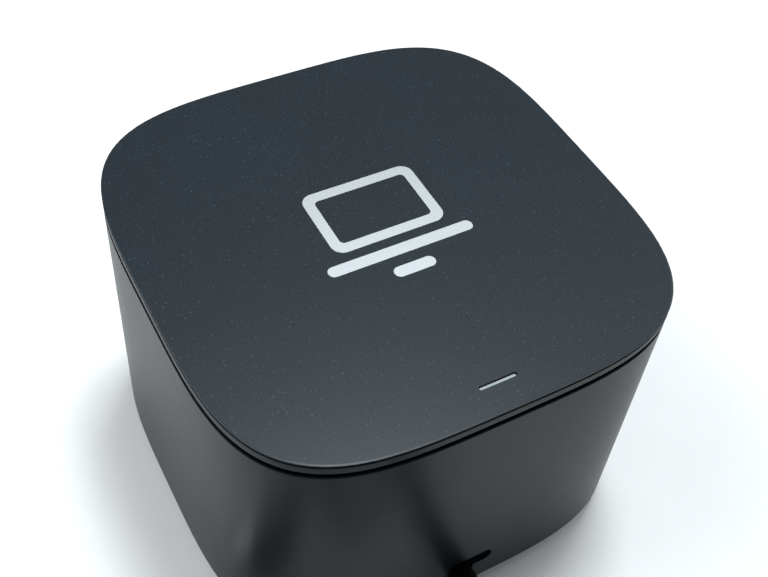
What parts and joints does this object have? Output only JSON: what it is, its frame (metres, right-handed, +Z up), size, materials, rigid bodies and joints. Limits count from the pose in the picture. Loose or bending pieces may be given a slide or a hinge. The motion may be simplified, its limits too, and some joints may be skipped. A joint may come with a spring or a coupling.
{
  "type": "laptop docking station",
  "caption": "Rounded-square desktop laptop dock with a lift-off lid, rear and side sockets, a sprung power button and a captive host cord lying in a coil.",
  "frame": {"origin": "on the resting surface, under the middle of the housing", "axes": "+Z up, -Y the front with the cord outlet and the status light, +X the right side with the power button"},
  "size_m": [0.1189, 0.1934, 0.07],
  "materials": {
    "top_surface": "satin dark grey with fine sparkle",
    "lid_band": "satin dark grey",
    "shell": "satin near-black, soft reflections",
    "gap_black": "matte black",
    "emblem_metal": "fine satin silver",
    "light_window": "frosted",
    "base_plastic": "fine texture",
    "foot_rubber": "matte",
    "port_plastic": "fine texture",
    "socket_steel": "plated",
    "contact_metal": "polished",
    "insulator": "moulded",
    "indicator": "clear tinted",
    "circuit_board": "solder mask",
    "chip": "moulded",
    "can_sleeve": "drawn can",
    "ferrite": "pressed",
    "shield_steel": "tinned",
    "thermal_pad": "soft",
    "sink_aluminium": "extruded",
    "screw_steel": "plated",
    "standoff_brass": "turned",
    "ribbon": "flat cable",
    "button_plastic": "satin",
    "cord_jacket": "smooth matte",
    "plug_mould": "moulded"
  },
  "bodies": {
    "dock": {"housing": "shell", "base_plate": "base_plastic", "foot_ring": "foot_rubber", "cable_cover": "base_plastic", "lock_plate": "screw_steel", "rear_port_panel": "port_plastic", "side_port_panel": "port_plastic", "dc_jack": "insulator", "usb_c_socket": "socket_steel", "network_jack": "socket_steel", "network_lights": "indicator", "network_contacts": "contact_metal", "display_socket_lower": "socket_steel", "display_socket_upper": "socket_steel", "display_spacer": "insulator", "usb_a_socket_front": "socket_steel", "usb_a_socket_rear": "socket_steel", "socket_tongues": "insulator", "audio_jack": "insulator", "power_switch": "insulator", "main_board": "circuit_board", "board_standoffs": "standoff_brass", "board_screws": "screw_steel", "controller_chips": "chip", "thermal_pads": "thermal_pad", "capacitors": "can_sleeve", "power_inductors": "ferrite", "shield_can": "shield_steel", "heat_sink": "sink_aluminium", "heat_sink_screws": "screw_steel", "ribbon_headers": "insulator", "ribbon_cable": "ribbon", "top_deck": "base_plastic", "deck_screws": "screw_steel", "base_screws": "screw_steel", "post_grommets": "foot_rubber", "module_connector": "insulator", "module_contacts": "contact_metal", "led_board": "circuit_board", "status_led": "light_window", "seam_ring": "gap_black", "cable_grommet": "plug_mould", "inner_cable": "cord_jacket", "cable_clamp": "base_plastic", "service_screws": "screw_steel", "inner_plug": "plug_mould", "host_socket": "socket_steel", "host_cable": "cord_jacket", "host_cable_coil": "cord_jacket", "host_cable_tail": "cord_jacket", "host_plug_body": "plug_mould", "host_plug_shell": "socket_steel"},
    "lid": {"lid_frame": "lid_band", "top_plate": "top_surface", "emblem": "emblem_metal", "light_guide": "light_window"},
    "power_button": {"power_button": "button_plastic", "switch_plunger": "button_plastic"}
  },
  "joints": [
    {"name": "lid_lift", "type": "slide", "parent": "dock", "child": "lid", "axis": [0, 0, 1], "range_m": [0, 0.04]},
    {"name": "power_press", "type": "slide", "parent": "dock", "child": "power_button", "axis": [-1, 0, 0], "range_m": [0, 0.0006], "stiffness_N_per_m": 600, "springref_m": -0.0008}
  ]
}
